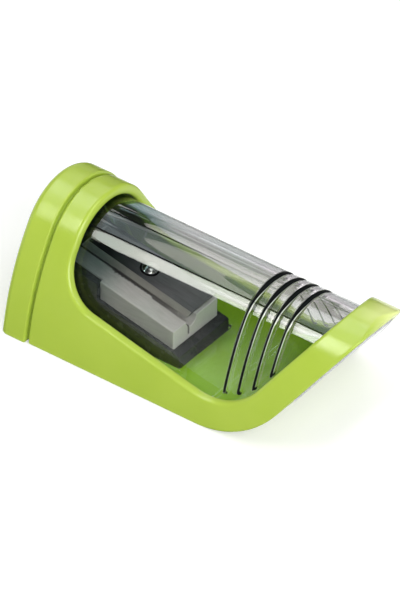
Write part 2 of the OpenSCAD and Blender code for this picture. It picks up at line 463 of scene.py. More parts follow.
def caseField():
    outline = meet(above(0), rakePlane(), shell["toeRadius"])
    outline = meet(outline, plane((0, 0, 1), caseHeight), shell["tipRadius"])
    outline = meet(outline, rightOf(0), shell["edge"])
    body = meet(arch(), outline, shell["edge"])
    room = meet(arch(shell["wall"]), bay(0, beyond))
    body = cut(body, room, shell["edge"])
    return cut(body, windowRoom(), shell["rim"])


def capField():
    outside = meet(arch(-cap["proud"]), rightOf(-cap["length"]), cap["round"])
    outside = meet(outside, above(0), cap["edge"])
    outside = meet(outside, leftOf(-cap["gap"]), cap["edge"])
    room = meet(arch(shell["wall"]), rightOf(capInside))
    room = meet(room, above(shell["floor"]), cap["roomEdge"])
    body = cut(outside, room, cap["edge"])
    # a low lip closes the gap behind the cap
    lip = cut(meet(arch(cap["lip"][0]), above(cap["edge"])), arch(cap["lip"][1]))
    lip = meet(lip, slab(0, -cap["gap"] - cap["lipFrom"], -cap["lipTo"]))
    body = join(body, lip, cap["lipEdge"])
    hole = rod(0, (0, pencil["y"], pencil["z"]), cap["hole"])
    return cut(body, meet(hole, leftOf(capInside + cap["face"] / 2)), cap["holeEdge"])


def coverField():
    outside = meet(arch(drawerInset), bay(cover["play"], cover["proud"]), cover["edge"])
    outside = meet(outside, rightOf(-cover["plug"]), cover["edge"])
    wall = cover["wall"]
    toe = shell["toeRadius"] - drawerInset - wall
    inner = meet(above(drawerZ + cover["floor"]), rakePlane(-drawerInset - wall), toe)
    endRoom = meet(above(lipHeight + cover["play"] + wall), rakePlane(cover["proud"] - wall))
    inner = join(inner, endRoom, shell["step"])
    body = cut(outside, meet(arch(drawerInset + wall), inner, cover["fillet"]), cover["edge"])
    side, top = traySide + tray["gap"], drawerZ + cover["floor"] + 1
    low = (-beyond, block["y"] - side, -beyond)
    slot = bar(low, (trayEnd + tray["gap"], block["y"] + side, top))
    return cut(body, slot, cover["slotEdge"])


def holderField():
    plate = arch(drawerInset + cover["wall"] + tray["gap"])
    plate = meet(plate, slab(0, capInside, capInside + tray["plate"]))
    plate = meet(plate, above(drawerZ + cover["floor"] + tray["gap"]), tray["edge"])
    pencilAxis = (0, pencil["y"], pencil["z"])
    holeRadius = cap["hole"] + tray["collarPlay"]
    collar = rod(0, pencilAxis, holeRadius + tray["collar"])
    collar = meet(collar, slab(0, capInside, block["start"]))
    s, c = math.sin(block["drop"]), math.cos(block["drop"])
    earEnd = block["start"] + block["gripLength"]
    lowTop = plane((s, 0, c), earEnd * s + (topZ(earEnd) - tray["bare"]) * c)
    earHeight = topZ(block["start"]) - tray["earDrop"]
    earTop = plane((0, 0, 1), earHeight)
    earSlope = plane((s, 0, c), block["start"] * s + earHeight * c)
    top = join(lowTop, meet(meet(earTop, earSlope), leftOf(earEnd), tray["edge"]))
    body = meet(meet(slab(0, capInside, trayEnd), above(drawerZ)), top, tray["edge"])
    y, wide = block["y"], block["width"] / 2
    body = meet(body, slab(1, y - traySide, y + traySide), tray["edge"])
    body = join(join(plate, collar), body)
    waist = wide - block["gripDepth"]
    room = bar((block["start"], y - waist, blockZ), (earEnd + 1, y + waist, beyond))
    room = join(room, bar((earEnd, y - wide, blockZ), (blockEnd, y + wide, beyond)))
    body = cut(body, room, tray["edge"])
    return cut(body, meet(rod(0, pencilAxis, holeRadius), leftOf(block["start"] + 0.01)))


def blockField():
    wide = block["width"] / 2
    edge = block["edge"]
    body = meet(slab(0, block["start"], blockEnd), above(blockZ), edge)
    body = meet(body, bladePlane(), edge)
    body = meet(body, slab(1, block["y"] - wide, block["y"] + wide), edge)
    gripEnd = leftOf(block["start"] + block["gripLength"])
    for side in (-1, 1):
        face = block["y"] + side * (wide - block["gripDepth"])
        body = cut(body, meet(plane((0, -side, 0), -side * face), gripEnd), edge)
    socket = rod(0, (0, pencil["y"], pencil["z"]), pencil["socket"])
    point = cone(pencil["y"], pencil["z"] - block["dip"], coneTip, block["drop"])
    body = cut(body, meet(socket, point))
    slot = bar((-beyond, -block["slot"], -block["slotDepth"]), (beyond, 0, beyond))
    body = cut(body, tiltToBlade(slot), block["slotEdge"])
    start, wide, deep = block["clearance"]
    room = bar((start, -wide, -deep), (blade["length"], 0, beyond))
    body = cut(body, tiltToBlade(room), block["slotEdge"])
    notch = rod(0, (0, (block["notch"] - block["slot"]) / 2, 0), block["notch"])
    notch = meet(notch, rightOf(blade["length"] - block["notchLength"]))
    return cut(body, tiltToBlade(notch), block["notchEdge"])


def screwField():
    u, v, seat = blade["length"] / 2, blade["width"] / 2, blade["thick"]
    top = seat + screw["height"]
    rise = screw["height"] - screw["rim"]
    dome = (screw["dome"] ** 2 + rise**2) / (2 * rise)
    middle = np.array([u, v, top - dome])[:, None]

    def ball(p):
        q = p - middle
        far = np.maximum(np.linalg.norm(q, axis=0), tiny)
        return far - dome, q / far

    head = meet(rod(2, (u, v, 0), screw["dome"]), ball, screw["domeEdge"])
    head = meet(head, above(seat))
    collar = slab(2, seat, seat + screw["collar"])
    collar = meet(rod(2, (u, v, 0), screw["head"]), collar, screw["collarEdge"])
    shank = meet(rod(2, (u, v, 0), screw["shank"]), slab(2, -screw["shankLength"], seat + 0.1))
    half = screw["slot"] / 2
    slot = bar((-beyond, v - half, top - screw["slotDepth"]), (beyond, v + half, beyond))
    return tiltToBlade(join(join(cut(head, slot, screw["slotEdge"]), collar), shank))


def bladePiece():
    # a ground plate: its cross-section runs along u, with a hole for the screw
    long, wide, bevel, sides = blade["length"], blade["width"], blade["bevel"], blade["holeSides"]
    hole = screw["shank"] + blade["holePlay"]
    u, v = long / 2, wide / 2
    corners = [(0, 0), (long, 0), (long, wide), (0, wide), (0, bevel), (long, bevel)]
    turns = np.linspace(0, 2 * math.pi, sides, endpoint=False)
    ring = [(u + hole * math.cos(a), v + hole * math.sin(a)) for a in turns]
    edges = [(0, 1), (1, 2), (2, 3), (3, 0), (4, 5)]
    edges += [(len(corners) + i, len(corners) + (i + 1) % sides) for i in range(sides)]
    points = [Vector(p) for p in corners + ring]
    flat, _, faces, *_ = delaunay_2d_cdt(points, edges, [], 0, 1e-6)

    def offCentre(face):
        return (sum((flat[i] for i in face), Vector((0, 0))) / len(face) - Vector((u, v))).length

    faces = [f for f in faces if offCentre(f) > hole * 0.98]
    upper = [(p.x, p.y, blade["thick"] * min(1, p.y / bevel)) for p in flat]
    points = [(p.x, p.y, 0) for p in flat] + upper
    n = len(flat)
    borders = dict.fromkeys((i, j) for f in faces for i, j in zip(f, f[1:] + f[:1]))
    allFaces = [tuple(reversed(f)) for f in faces] + [tuple(i + n for i in f) for f in faces]
    allFaces += [(i, j, j + n, i + n) for i, j in borders if (j, i) not in borders]
    mesh = bpy.data.meshes.new("blade")
    place = [(Vector(onBlade(*p)) + Vector((jointX, 0, 0))) * mm for p in points]
    mesh.from_pydata(place, [], allFaces)
    bm = bmesh.new()
    bm.from_mesh(mesh)
    same = 1e-7
    bmesh.ops.remove_doubles(bm, verts=bm.verts, dist=same)
    bmesh.ops.dissolve_degenerate(bm, edges=bm.edges, dist=same)
    bmesh.ops.recalc_face_normals(bm, faces=bm.faces)
    bm.to_mesh(mesh)
    bm.free()
    print("sharpener: blade", len(mesh.polygons), "faces")
    return put("blade", mesh)


reach = rakeX(caseHeight) + 1
halfW = caseWidth / 2 + 1
lastGrip = grips["start"] + (grips["count"] - 1) * grips["pitch"]
# field, low corner, high corner, cell, and where the grid is finer
rooms = {
    "case_shell": (caseField(), (0, -halfW, 0), (reach, halfW, caseHeight), (0.34, 0.3, 0.3)),
    "cap_shell": (
        capField(), (-cap["length"], -halfW, 0), (0, halfW, caseHeight + 1), (0.25,) * 3
    ),
    "clear_drawer": (
        coverField(),
        (-cover["plug"], -halfW, drawerZ),
        (reach, halfW, caseHeight),
        (0.42,) * 3,
        (grips["start"] - 1.5, lastGrip + 1.5, 0.13),
    ),
    "tray": (
        holderField(), (capInside, -halfW, drawerZ), (trayEnd, halfW, caseHeight), (0.25,) * 3
    ),
    "wedge_block": (
        blockField(),
        (block["start"], block["sides"][0], blockZ),
        (blockEnd, block["sides"][1], topZ(0)),
        (0.16,) * 3,
    ),
    "screw": (screwField(), *screw["room"], (0.07,) * 3),
}
pieces = {name: netMesh(name, *room) for name, room in rooms.items()}
pieces["blade_plate"] = bladePiece()


# the finishes; a noise is given as its scale, its detail and how it is squeezed along each axis
def newMaterial(name, inputs=None):
    material = bpy.data.materials.new(name)
    material.use_nodes = True
    tree = material.node_tree
    tree.nodes.clear()
    output = tree.nodes.new("ShaderNodeOutputMaterial")
    shader = wire(tree, "ShaderNodeBsdfPrincipled", inputs)
    tree.links.new(shader.outputs[0], output.inputs["Surface"])
    return material, tree, shader, output


def wire(tree, kind, inputs=None, **settings):
    node = tree.nodes.new(kind)
    for key, value in settings.items():
        setattr(node, key, value)
    for key, value in (inputs or {}).items():
        if isinstance(value, bpy.types.NodeSocket):
            tree.links.new(value, node.inputs[key])
        else:
            node.inputs[key].default_value = value
    return node


def maths(tree, operation, *values, clamp=False):
    given = dict(enumerate(values))
    return wire(tree, "ShaderNodeMath", given, operation=operation, use_clamp=clamp).outputs[0]


def objectPlace(tree):
    where = wire(tree, "ShaderNodeTexCoord").outputs["Object"]
    return wire(tree, "ShaderNodeSeparateXYZ", {0: where}).outputs


def facing(tree, axis, kind="Normal"):
    normal = wire(tree, "ShaderNodeNewGeometry").outputs[kind]
    return wire(tree, "ShaderNodeSeparateXYZ", {0: normal}).outputs[axis]


def attribute(tree, name):
    return wire(tree, "ShaderNodeAttribute", attribute_name=name).outputs["Fac"]


def noise(tree, scale, detail=2.0, stretch=(1, 1, 1)):
    where = wire(tree, "ShaderNodeTexCoord").outputs["Object"]
    placed = wire(tree, "ShaderNodeMapping", {"Vector": where, "Scale": stretch}).outputs[0]
    inputs = {"Vector": placed, "Scale": scale, "Detail": detail}
    return wire(tree, "ShaderNodeTexNoise", inputs).outputs["Fac"]


def span(tree, value, low, high, fromLow=0.35, fromHigh=0.65, **settings):
    inputs = {0: value, 1: fromLow, 2: fromHigh, 3: low, 4: high}
    return wire(tree, "ShaderNodeMapRange", inputs, **settings).outputs[0]


def tint(tree, fac, first, second):
    node = tree.nodes.new("ShaderNodeMix")
    node.data_type = "RGBA"
    tree.links.new(fac, node.inputs[0])
    for socket, colour in ((6, first), (7, second)):
        if isinstance(colour, bpy.types.NodeSocket):
            tree.links.new(colour, node.inputs[socket])
        else:
            node.inputs[socket].default_value = (*colour, 1)
    return node.outputs[2]


def layered(tree, fac, under, over):
    return wire(tree, "ShaderNodeMixShader", {0: fac, 1: under, 2: over}).outputs[0]


def dress(tree, shader, skin, roughness, height, relief):
    # relief = (strength, distance in metres)
    bump = {"Height": height, "Strength": relief[0], "Distance": relief[1]}
    tree.links.new(skin, shader.inputs["Base Color"])
    tree.links.new(roughness, shader.inputs["Roughness"])
    tree.links.new(wire(tree, "ShaderNodeBump", bump).outputs[0], shader.inputs["Normal"])


green = {
    "light": (0.402, 0.530, 0.064),
    "deep": (0.378, 0.508, 0.056),
    "inside": (0.12, 0.19, 0.03),
    "floor": (0.26, 0.50, 0.015),
    "floorTop": 0.0045,
    "floorLevel": (0.5, 0.9),
    "thin": (0.74, 0.82, 0.30),
    "thinAlong": (60, 64.5),
    "thinAcross": (-3.5, 3.5),
    "cloud": (90, 3),
    "gloss": (300, 3),
    "grain": (2600,),
    "roughness": (0.19, 0.26),
    "relief": (0.06, 0.00003),
}


def greenPlastic():
    material, tree, shader, _ = newMaterial("green_plastic")
    cloud = span(tree, noise(tree, *green["cloud"]), 0, 1)
    skin = tint(tree, cloud, green["deep"], green["light"])
    # painted light: a paler patch on the raked band's top, towards its far side
    place = objectPlace(tree)
    along = span(tree, place[0], 0, 1, *((jointX + x) * mm for x in green["thinAlong"]))
    across = span(tree, place[1], 0, 1, *(y * mm for y in green["thinAcross"]))
    skin = tint(tree, maths(tree, "MULTIPLY", along, across), skin, green["thin"])
    # painted bounce light: the case's floor, seen through the cover, is a deeper, more saturated
    # green
    low = maths(tree, "LESS_THAN", place[2], green["floorTop"])
    level = span(tree, facing(tree, 2), 0, 1, *green["floorLevel"])
    skin = tint(tree, maths(tree, "MULTIPLY", low, level), skin, green["floor"])
    # painted shade over the inside of the shell and the cap
    skin = tint(tree, attribute(tree, "inside"), skin, green["inside"])
    roughness = span(tree, noise(tree, *green["gloss"]), *green["roughness"])
    dress(tree, shader, skin, roughness, noise(tree, *green["grain"]), green["relief"])
    return material


feather = 0.03  # half the soft edge of a drawn line
reflectionLines = {
    "angles": (9.5, 36.2),
    "width": (0.15, 0.07),
    "thinTo": 45,
    "start": (7.2, 4.6),
    "starts": 0.3,
    "fade": (22, 50),
    "fades": 12,
    "faint": 0.1,
}


def paintedReflectionLines(tree):
    # painted dark reflection lines at set angles round the crown, on the cover's outer skin,
    # thinner away from the ring
    place = objectPlace(tree)
    x = maths(tree, "MULTIPLY_ADD", place[0], 1 / mm, -jointX)
    up = maths(tree, "MULTIPLY_ADD", place[2], 1 / mm, shell["crownRadius"] - caseHeight)
    near = maths(tree, "MULTIPLY", place[1], -1 / mm)
    angle = maths(tree, "ARCTAN2", near, up)
    half = span(tree, x, *reflectionLines["width"], reflectionLines["start"][0], reflectionLines["thinTo"])
    skin = attribute(tree, "skin")
    total = None
    for turn, start, fade in zip(reflectionLines["angles"], reflectionLines["start"], reflectionLines["fade"]):
        off = maths(tree, "ABSOLUTE", maths(tree, "SUBTRACT", angle, math.radians(turn)))
        off = maths(tree, "MULTIPLY_ADD", off, drawerInset - shell["crownRadius"], half)
        line = maths(tree, "MULTIPLY", span(tree, off, 0, 1, -feather, feather), skin)
        begun = span(tree, x, 0, 1, start, start + reflectionLines["starts"])
        faded = span(tree, x, 1, reflectionLines["faint"], fade, fade + reflectionLines["fades"])
        line = maths(tree, "MULTIPLY", line, maths(tree, "MULTIPLY", begun, faded))
        total = line if total is None else maths(tree, "MAXIMUM", total, line)
    return total


smoky = {
    "ior": 1.47,
    "foot": (0.95, 0.96, 0.95),
    "crown": (0.52, 0.55, 0.54),
    "blush": (0.57, 0.545, 0.56),
    "ring": (0.26, 0.36, 0.36),
    "ringTo": (8, 18),
    "height": (0.007, 0.020),
    "sway": 0.003,
    "swayCloud": (60,),
    "stress": (110, 2, (0.45, 1, 1)),
    "stressSpan": (0.42, 0.58),
    "cutEdge": ((0.84, 0.84, 0.90), (0.93, 0.93, 0.97)),
    "dark": ((0.002, 0.003, 0.003), (0.006, 0.007, 0.007)),
    "glint": ((0.80, 0.84, 0.76), (0.92, 0.94, 0.88)),
    "shadow": (0.98, 0.985, 0.985, 1),
}


def layer(tree, scale, detail, colours, inputs):
    skin = tint(tree, noise(tree, scale, detail), *colours)
    return wire(tree, "ShaderNodeBsdfPrincipled", {"Base Color": skin, **inputs}).outputs[0]


def clearPlastic():
    glass = {"Transmission Weight": 1, "IOR": smoky["ior"], "Roughness": 0.0}
    material, tree, shader, output = newMaterial("clear_plastic", glass)
    # smoky over the crown, clearer towards the floor
    place = objectPlace(tree)
    height = maths(tree, "MULTIPLY_ADD", noise(tree, *smoky["swayCloud"]), smoky["sway"], place[2])
    smoke = span(tree, height, 0, 1, *smoky["height"], interpolation_type="SMOOTHSTEP")
    # moulding stress shows as faint green and pink clouds along the crown, and painted shade tints
    # the cover a darker teal near the ring
    cloud = span(tree, noise(tree, *smoky["stress"]), 0, 1, *smoky["stressSpan"])
    crown = tint(tree, cloud, smoky["crown"], smoky["blush"])
    ringTo = ((jointX + x) * mm for x in smoky["ringTo"])
    near = span(tree, place[0], 1, 0, *ringTo, interpolation_type="SMOOTHSTEP")
    crown = tint(tree, near, crown, smoky["ring"])
    tree.links.new(tint(tree, smoke, smoky["foot"], crown), shader.inputs["Base Color"])
    # the cut rim and the lower corner are frosted
    frostLook = {"Roughness": 0.4, "Transmission Weight": 0.35, "IOR": smoky["ior"]}
    frosted = layer(tree, 1200, 3, smoky["cutEdge"], frostLook)
    body = layered(tree, attribute(tree, "frost"), shader.outputs[0], frosted)
    # painted dark reflection lines run along the cover, and each grip groove has painted shade on
    # one wall with a painted highlight at its edge
    paintedDark = layer(tree, 300, 2, smoky["dark"], {"Roughness": 0.5, "Specular IOR Level": 0.05})
    highlightLook = {"Roughness": 0.3, "Transmission Weight": 0.4, "IOR": smoky["ior"]}
    paintedHighlight = layer(tree, 900, 2, smoky["glint"], highlightLook)
    for name, top in (("wallGlint", paintedHighlight), ("wallShade", paintedDark)):
        edge = span(tree, attribute(tree, name), 0, 1, -feather, feather)
        body = layered(tree, edge, body, top)
    body = layered(tree, paintedReflectionLines(tree), body, paintedDark)
    # shadows and bounced light pass through
    path = wire(tree, "ShaderNodeLightPath").outputs
    either = maths(tree, "MAXIMUM", path["Is Shadow Ray"], path["Is Diffuse Ray"])
    through = wire(tree, "ShaderNodeBsdfTransparent", {"Color": smoky["shadow"]}).outputs[0]
    tree.links.new(layered(tree, either, body, through), output.inputs["Surface"])
    return material


black = {
    "specular": 0.22,
    "cloud": (120, 3),
    "bounceCloud": (200, 3),
    "gloss": (500, 3),
    "grain": (2000,),
    "skin": ((0.009, 0.012, 0.011), (0.016, 0.021, 0.019)),
    "greenBounce": (0.05, 0.06, 0.026),
    "bounceFacing": (-0.9, -0.6),
    "roughness": (0.16, 0.3),
    "relief": (0.08, 0.00004),
}


def blackPlastic():
    sheen = {"Specular IOR Level": black["specular"]}
    material, tree, shader, _ = newMaterial("black_plastic", sheen)
    skin = tint(tree, noise(tree, *black["cloud"]), *black["skin"])
    # painted bounce light: the near long side is paler and greener, in patches
    side = span(tree, facing(tree, 1), 1, 0, *black["bounceFacing"])
    greenBounce = maths(tree, "MULTIPLY", side, span(tree, noise(tree, *black["bounceCloud"]), 0.5, 1))
    skin = tint(tree, greenBounce, skin, black["greenBounce"])
    roughness = span(tree, noise(tree, *black["gloss"]), *black["roughness"])
    dress(tree, shader, skin, roughness, noise(tree, *black["grain"]), black["relief"])
    return material


cast = {
    "metallic": 0.15,
    "grain": (700, 4, (0.3, 3, 3)),
    "gloss": (400, 3),
    "skin": ((0.44, 0.44, 0.40), (0.51, 0.505, 0.465)),
    "lighterEnd": (0.66, 0.665, 0.63),
    "lighterEndFacing": (0.5, 0.9),
    "blockShade": (0.012, 0.012, 0.012),
    "roughness": (0.38, 0.52),
    "relief": (0.12, 0.00004),
}


def castMetal():
    material, tree, shader, _ = newMaterial("cast_metal", {"Metallic": cast["metallic"]})
    grain = noise(tree, *cast["grain"])
    skin = tint(tree, span(tree, grain, 0, 1), *cast["skin"])
    # the end face, facing +x, is lighter, and painted shade darkens the slot beside the blade, the
    # block towards the cap and its foot
    lighterEnd = span(tree, facing(tree, 0), 0, 1, *cast["lighterEndFacing"])
    skin = tint(tree, attribute(tree, "blockShade"), tint(tree, lighterEnd, skin, cast["lighterEnd"]), cast["blockShade"])
    roughness = span(tree, noise(tree, *cast["gloss"]), *cast["roughness"])
    dress(tree, shader, skin, roughness, grain, cast["relief"])
    return material


steel = {
    "metallic": 0.9,
    "grain": (900, 3, (0.15, 3, 1)),
    "black": ((0.19, 0.2, 0.197), (0.24, 0.252, 0.248)),
    "shadedTone": (0.022, 0.026, 0.026),
    "shadeAlong": (4, 19),
    "bare": ((0.46, 0.45, 0.39), (0.56, 0.545, 0.47)),
    "bareFacing": (-0.3, -0.2),
    "roughness": (0.3, 0.42),
    "relief": (0.1, 0.00003),
}


def bladeSteel():
    material, tree, shader, _ = newMaterial("blade_steel", {"Metallic": steel["metallic"]})
    grain = noise(tree, *steel["grain"])
    skin = tint(tree, span(tree, grain, 0, 1), *steel["black"])
    # painted shadow: the blade darkens towards the cap
    shadeAlong = ((jointX + x) * mm for x in steel["shadeAlong"])
    skin = tint(tree, span(tree, objectPlace(tree)[0], 0, 1, *shadeAlong), steel["shadedTone"], skin)
    # the ground bevel is bare steel
    ground = span(tree, facing(tree, 1, "True Normal"), 1, 0, *steel["bareFacing"])
    skin = tint(tree, ground, skin, tint(tree, grain, *steel["bare"]))
    dress(tree, shader, skin, span(tree, grain, *steel["roughness"]), grain, steel["relief"])
    return material


plate = {
    "grain": (1500, 3),
    "skin": ((0.62, 0.64, 0.6), (0.8, 0.82, 0.78)),
    "collarShade": (0.008, 0.009, 0.009),
    "roughness": (0.1, 0.2),
    "relief": (0.1, 0.00003),
}


def screwPlate():
    material, tree, shader, _ = newMaterial("screw_plate", {"Metallic": 1})
    grain = noise(tree, *plate["grain"])
    skin = tint(tree, span(tree, grain, 0, 1), *plate["skin"])
    # painted shade in the sunk collar round the dome
    skin = tint(tree, attribute(tree, "collarShade"), skin, plate["collarShade"])
    dress(tree, shader, skin, span(tree, grain, *plate["roughness"]), grain, plate["relief"])
    return material


# what the finishes need to know about places, as attributes on the pieces' points
def millimetres(piece):
    points = np.empty(len(piece.data.vertices) * 3)
    piece.data.vertices.foreach_get("co", points)
    return points.reshape(-1, 3).T / mm - np.array([[jointX], [0], [0]])


def mark(piece, name, values):
    piece.data.attributes.new(name, "FLOAT", "POINT").data.foreach_set("value", values)


def rising(values, start, end):
    return np.clip((values - start) / (end - start), 0, 1)


# where and how deep painted shade darkens the block
blockShade = {
    "slotTop": (-0.12, -0.22),
    "slotSide": 0.08,
    "clearance": 0.8,
    "capShadow": 0.65,
    "capShadowPast": 2.5,
    "foot": 0.35,
    "footHeight": 4,
    "unshadedEnd": 0.3,
}


def markBlockShade(piece):
    # painted shade: the narrow slot, a painted shadow that deepens towards the cap, and a little
    # along the foot
    points = millimetres(piece)
    x, z = points[0], points[2]
    beforeEnd = x < x.max() - blockShade["unshadedEnd"]
    start, wide, _ = block["clearance"]
    inClearance = x > bladeX + start * math.cos(block["drop"])
    width = np.where(inClearance, wide, block["slot"])
    slot = rising(bladePlane()(points)[0], *blockShade["slotTop"]) * beforeEnd
    slot *= np.abs(points[1] - blade["y"] + width / 2) < width / 2 + blockShade["slotSide"]
    slot *= np.where(inClearance, blockShade["clearance"], 1)
    capShadow = blockShade["capShadow"] * rising(x, block["gripLength"] + blockShade["capShadowPast"], blockShade["capShadowPast"])
    foot = blockShade["foot"] * rising(z, blockZ + blockShade["footHeight"], blockZ) * beforeEnd
    mark(piece, "blockShade", np.maximum(slot, np.maximum(capShadow, foot)))


def markCollarShade(piece):
    # painted shade: the sunk collar round the screw's dome is dark
    dome = tiltToBlade(rod(2, (blade["length"] / 2, blade["width"] / 2, 0), screw["dome"]))
    mark(piece, "collarShade", rising(dome(millimetres(piece))[0], 0, screw["collarShade"]))


# distances from the shell's inner wall, outwards
insideShade = {"outer": (0.35, 0.05), "inner": (-0.6, -0.2), "foot": (-2.7, -1.9), "face": 0.5}


def markInsideShade(piece):
    # painted shade over the inside of the shell
    points = millimetres(piece)
    deep = arch(shell["wall"])(points)[0]
    within = rising(deep, *insideShade["outer"])
    if piece is pieces["case_shell"]:
        within *= rising(deep, *insideShade["inner"])
        # a band of painted shadow lies along the foot of the far wall
        onFloor = (np.abs(points[2] - shell["floor"]) < 0.1) * (points[1] > 0)
        within = np.maximum(within, rising(deep, *insideShade["foot"]) * onFloor)
    else:
        within *= points[0] > -cap["length"] + insideShade["face"]
    mark(piece, "inside", within)


frost = {"rim": (-0.2, -0.05), "rimDeep": 0.3, "corner": (-0.3, -0.15), "cornerDeep": (-1.6, -1.4)}


def markCover(piece):
    # how far inside the grooved patch each point of the outer skin lies, in millimetres
    points = millimetres(piece)
    under = arch(drawerInset)(points)[0]
    onSkin = np.abs(under) < 0.05
    mark(piece, "gripRoom", np.where(onSkin, -windowRoom(grips["margin"])(points)[0], -10))
    mark(piece, "skin", onSkin.astype(float))
    # the rim that stands proud of the case is frosted along its cut edge
    rim = rising(rakePlane()(points)[0], *frost["rim"])
    rim *= rising(under, -cover["wall"], frost["rimDeep"] - cover["wall"])
    # and so is the lower corner all along
    floorRoom = bay(cover["play"], cover["proud"])(points)[0]
    corner = rising(floorRoom, *frost["corner"]) * rising(under, *frost["cornerDeep"])
    mark(piece, "frost", np.maximum(rim, corner))


# one tree presses every groove into the cover's outer skin
def grooveTree():
    tree = bpy.data.node_groups.new("grip_grooves", "GeometryNodeTree")
    face = tree.interface
    face.new_socket("Geometry", in_out="INPUT", socket_type="NodeSocketGeometry")
    sizes = ("count", "start", "pitch", "width", "depth", "footWall", "crownWall", "farWall")
    sizes += ("crownShade", "hook", "hookWall", "glint", "corner")
    sockets = {}
    for size in sizes:
        kind = "NodeSocketInt" if size == "count" else "NodeSocketFloat"
        socket = face.new_socket(size, in_out="INPUT", socket_type=kind)
        socket.default_value = sockets[socket.identifier] = grips[size]
    face.new_socket("Cover", in_out="INPUT", socket_type="NodeSocketMaterial")
    face.new_socket("Geometry", in_out="OUTPUT", socket_type="NodeSocketGeometry")
    given = tree.nodes.new("NodeGroupInput").outputs

    def sums(operation, *values, clamp=False):
        return maths(tree, operation, *values, clamp=clamp)

    position = tree.nodes.new("GeometryNodeInputPosition").outputs[0]
    place = wire(tree, "ShaderNodeSeparateXYZ", {0: position}).outputs
    x = sums("SUBTRACT", sums("DIVIDE", place[0], mm), jointX)
    step = sums("ROUND", sums("DIVIDE", sums("SUBTRACT", x, given["start"]), given["pitch"]))
    step = sums("MINIMUM", sums("MAXIMUM", step, 0.0), sums("SUBTRACT", given["count"], 1.0))
    across = sums("SUBTRACT", x, sums("MULTIPLY_ADD", step, given["pitch"], given["start"]))
    named = {"Name": "gripRoom"}
    room = wire(tree, "GeometryNodeInputNamedAttribute", named, data_type="FLOAT").outputs[0]

    # signed distance to the nearest groove's outline, a bar with round corners
    half = sums("MULTIPLY", given["width"], 0.5)
    sideOut = sums("ADD", sums("SUBTRACT", sums("ABSOLUTE", across), half), given["corner"])
    endOut = sums("SUBTRACT", given["corner"], room)
    squares = [sums("POWER", sums("MAXIMUM", out, 0.0), 2.0) for out in (sideOut, endOut)]
    inside = sums("MINIMUM", sums("MAXIMUM", sideOut, endOut), 0.0)
    outline = sums("ADD", sums("SQRT", sums("ADD", *squares)), inside)
    ridge = sums("SUBTRACT", given["corner"], outline)

    # the wall on the cap's side leans more towards the crown
    height = sums("DIVIDE", place[2], mm)
    high = span(tree, height, 0, 1, grips["crownFrom"], caseHeight - drawerInset)
    lean = span(tree, high, given["footWall"], given["crownWall"], 0, 1)
    farWall = given["farWall"]
    capSide = sums("LESS_THAN", across, 0.0)
    wall = sums("MULTIPLY_ADD", capSide, sums("SUBTRACT", lean, farWall), farWall)
    fall = sums("DIVIDE", ridge, wall, clamp=True)
    fall = span(tree, fall, 0, 1, 0, 1, interpolation_type="SMOOTHSTEP")
    deep = sums("MULTIPLY", sums("MULTIPLY", fall, given["depth"]), -mm)
    normal = tree.nodes.new("GeometryNodeInputNormal").outputs[0]
    push = wire(tree, "ShaderNodeVectorMath", {0: normal, "Scale": deep}, operation="SCALE")

    # painted shade: the wall on the cap's side is dark, widening over the crown and hooking round
    # at the foot
    fade = grips["shadeFade"]
    shadeEnd = sums("SUBTRACT", sums("MULTIPLY_ADD", high, -fade, sums("ADD", lean, fade)), half)
    curve = sums("POWER", high, grips["shadeCurve"])
    shadeEnd = sums("MULTIPLY_ADD", curve, given["crownShade"], shadeEnd)
    along = sums("SUBTRACT", shadeEnd, across)
    hookEnd = sums("SUBTRACT", sums("SUBTRACT", given["hook"], half), across)
    hook = sums("MINIMUM", sums("SUBTRACT", given["hookWall"], room), hookEnd)
    dark = sums("MINIMUM", sums("MAXIMUM", along, hook), ridge)
    # and its painted highlight edge is narrower at the foot
    rise = sums("MULTIPLY", high, grips["glintRise"], clamp=True)
    light = sums("MULTIPLY", given["glint"], sums("ADD", rise, grips["glintFoot"]))
    glint = sums("MINIMUM", sums("ADD", along, light), ridge)
    marked = given["Geometry"]
    for name, value in (("wallShade", dark), ("wallGlint", glint)):
        inputs = {"Geometry": marked, "Name": name, "Value": value}
        kind = {"data_type": "FLOAT", "domain": "POINT"}
        marked = wire(tree, "GeometryNodeStoreNamedAttribute", inputs, **kind).outputs[0]
    moved = {"Geometry": marked, "Offset": push.outputs[0]}
    pressed = wire(tree, "GeometryNodeSetPosition", moved).outputs[0]
    whole = wire(tree, "GeometryNodeRealizeInstances", {0: pressed}).outputs[0]
    clear = {"Geometry": whole, "Material": given["Cover"]}
    wire(tree, "NodeGroupOutput", {0: wire(tree, "GeometryNodeSetMaterial", clear).outputs[0]})
    return tree, sockets


def pressGrooves(piece, material):
    tree, sizes = grooveTree()
    modifier = piece.modifiers.new("grip_grooves", "NODES")
    modifier.node_group = tree
    for identifier, value in sizes.items():
        modifier[identifier] = value
    for item in tree.interface.items_tree:
        if item.name == "Cover":
            modifier[item.identifier] = material
    depsgraph = bpy.context.evaluated_depsgraph_get()
    pressed = bpy.data.meshes.new_from_object(piece.evaluated_get(depsgraph), depsgraph=depsgraph)
    piece.modifiers.remove(modifier)
    piece.data = pressed
    print("sharpener: grip grooves pressed", len(pressed.polygons), "faces")


